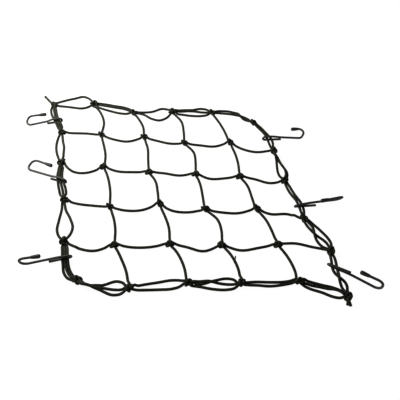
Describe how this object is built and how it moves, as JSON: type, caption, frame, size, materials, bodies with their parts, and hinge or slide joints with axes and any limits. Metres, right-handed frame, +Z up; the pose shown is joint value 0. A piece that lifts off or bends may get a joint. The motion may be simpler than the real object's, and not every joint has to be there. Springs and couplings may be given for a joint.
{
  "type": "cargo net",
  "caption": "Black elastic cord cargo net laid out loosely on the ground, knotted at its crossings, with coated wire hooks held on its two side borders.",
  "frame": {"origin": "middle of the whole part's footprint, on the ground that it lies on", "axes": "+Z up from the ground; +X to the right and +Y to the far side of the net as it is laid out"},
  "size_m": [0.5798, 0.4145, 0.0263],
  "materials": {
    "cord": "matt braided cover over an elastic core, near black",
    "hook_wire": "satin dark grey coating on steel wire",
    "hook_tip": "moulded dark grey plastic cap"
  },
  "bodies": {
    "root": {"net": "cord", "hook_1": "hook_wire", "hook_2": "hook_wire", "hook_3": "hook_wire", "hook_4": "hook_wire", "hook_5": "hook_wire", "hook_6": "hook_wire", "tip_1": "hook_tip", "tip_2": "hook_tip", "tip_3": "hook_tip", "tip_4": "hook_tip", "tip_5": "hook_tip", "tip_6": "hook_tip"}
  },
  "joints": []
}
